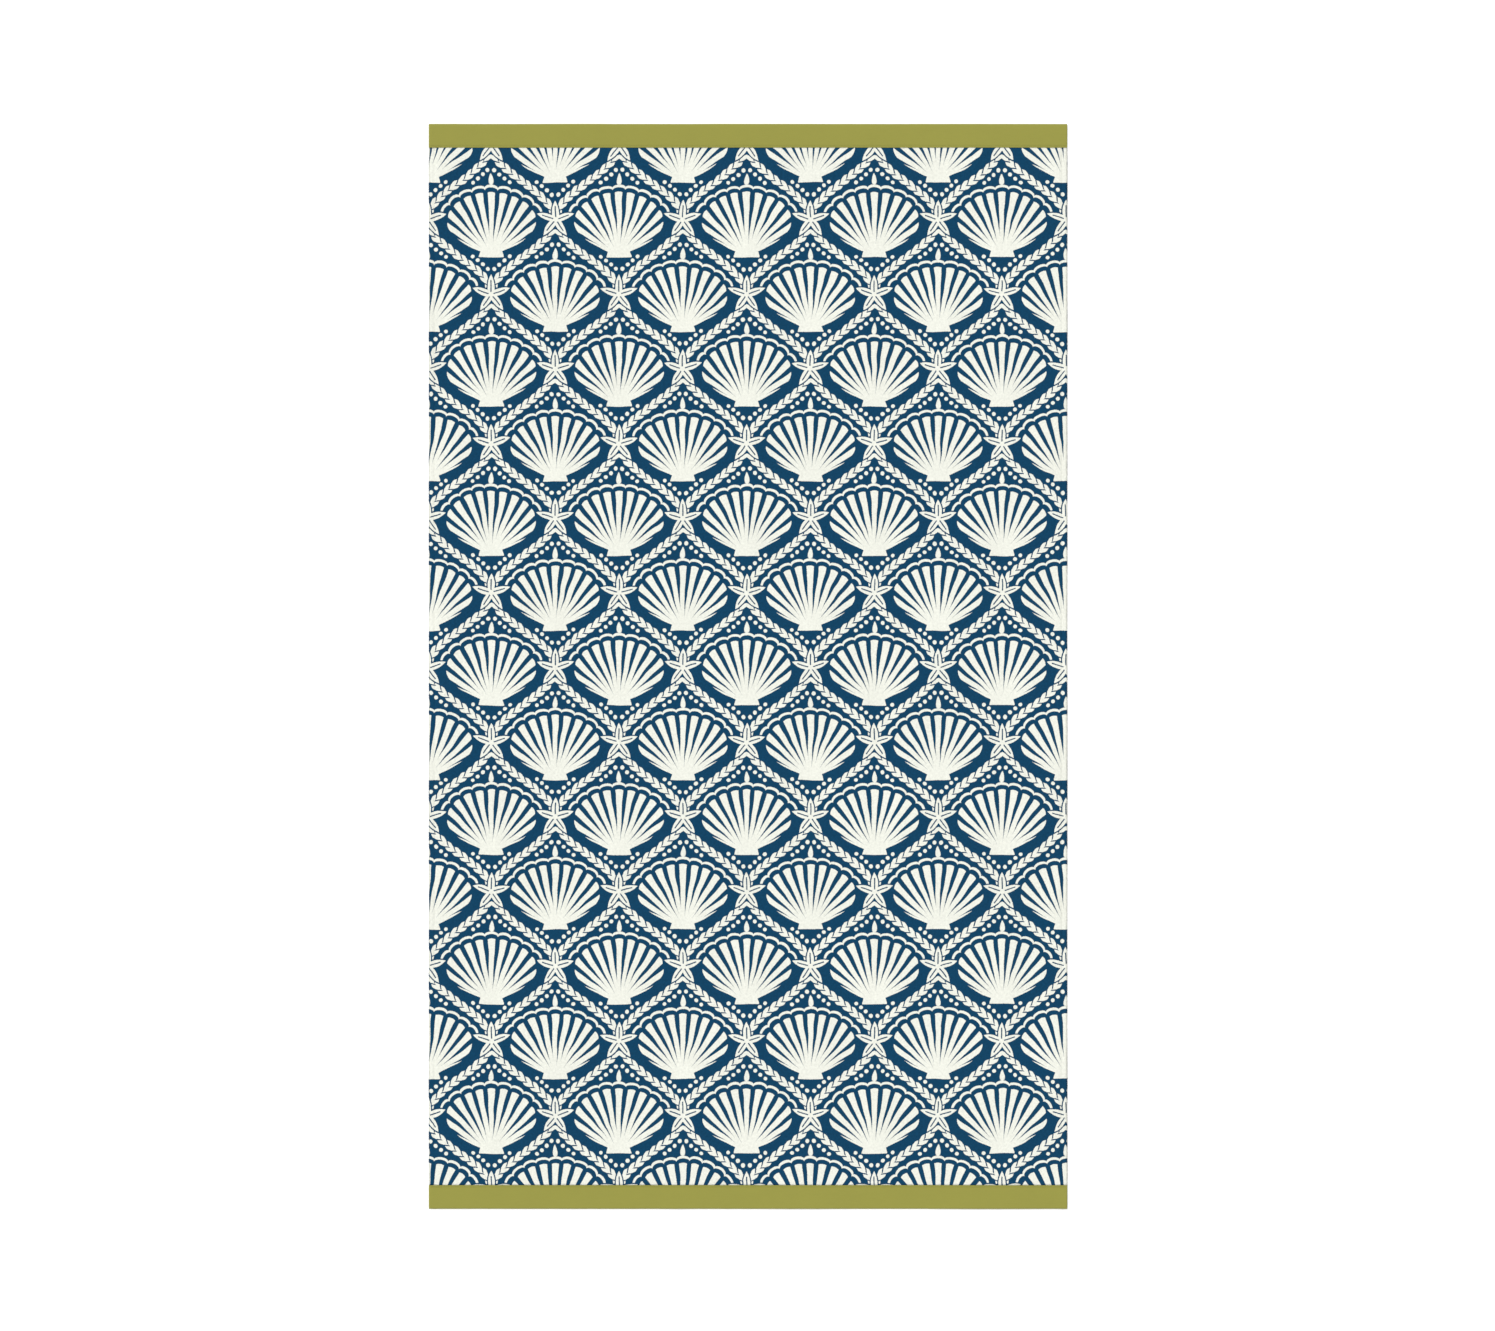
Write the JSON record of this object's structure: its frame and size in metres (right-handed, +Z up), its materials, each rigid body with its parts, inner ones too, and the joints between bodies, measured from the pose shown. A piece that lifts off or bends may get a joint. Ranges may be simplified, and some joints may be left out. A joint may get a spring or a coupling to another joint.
{
  "type": "beach towel",
  "caption": "Flat rectangular cotton beach towel with a printed pile face in navy and cream and a plain olive woven band folded round each end.",
  "frame": {"origin": "middle of the towel's underside, on the surface it lies on", "axes": "+X across the towel, +Y along it towards the end that is uppermost in the picture, +Z up from the surface"},
  "size_m": [1, 1.7, 0.0035],
  "materials": {
    "printed_terry": "matte",
    "olive_band": "matte"
  },
  "bodies": {
    "root": {"terry_panel": "printed_terry", "end_band_top": "olive_band", "end_band_bottom": "olive_band"}
  },
  "joints": []
}
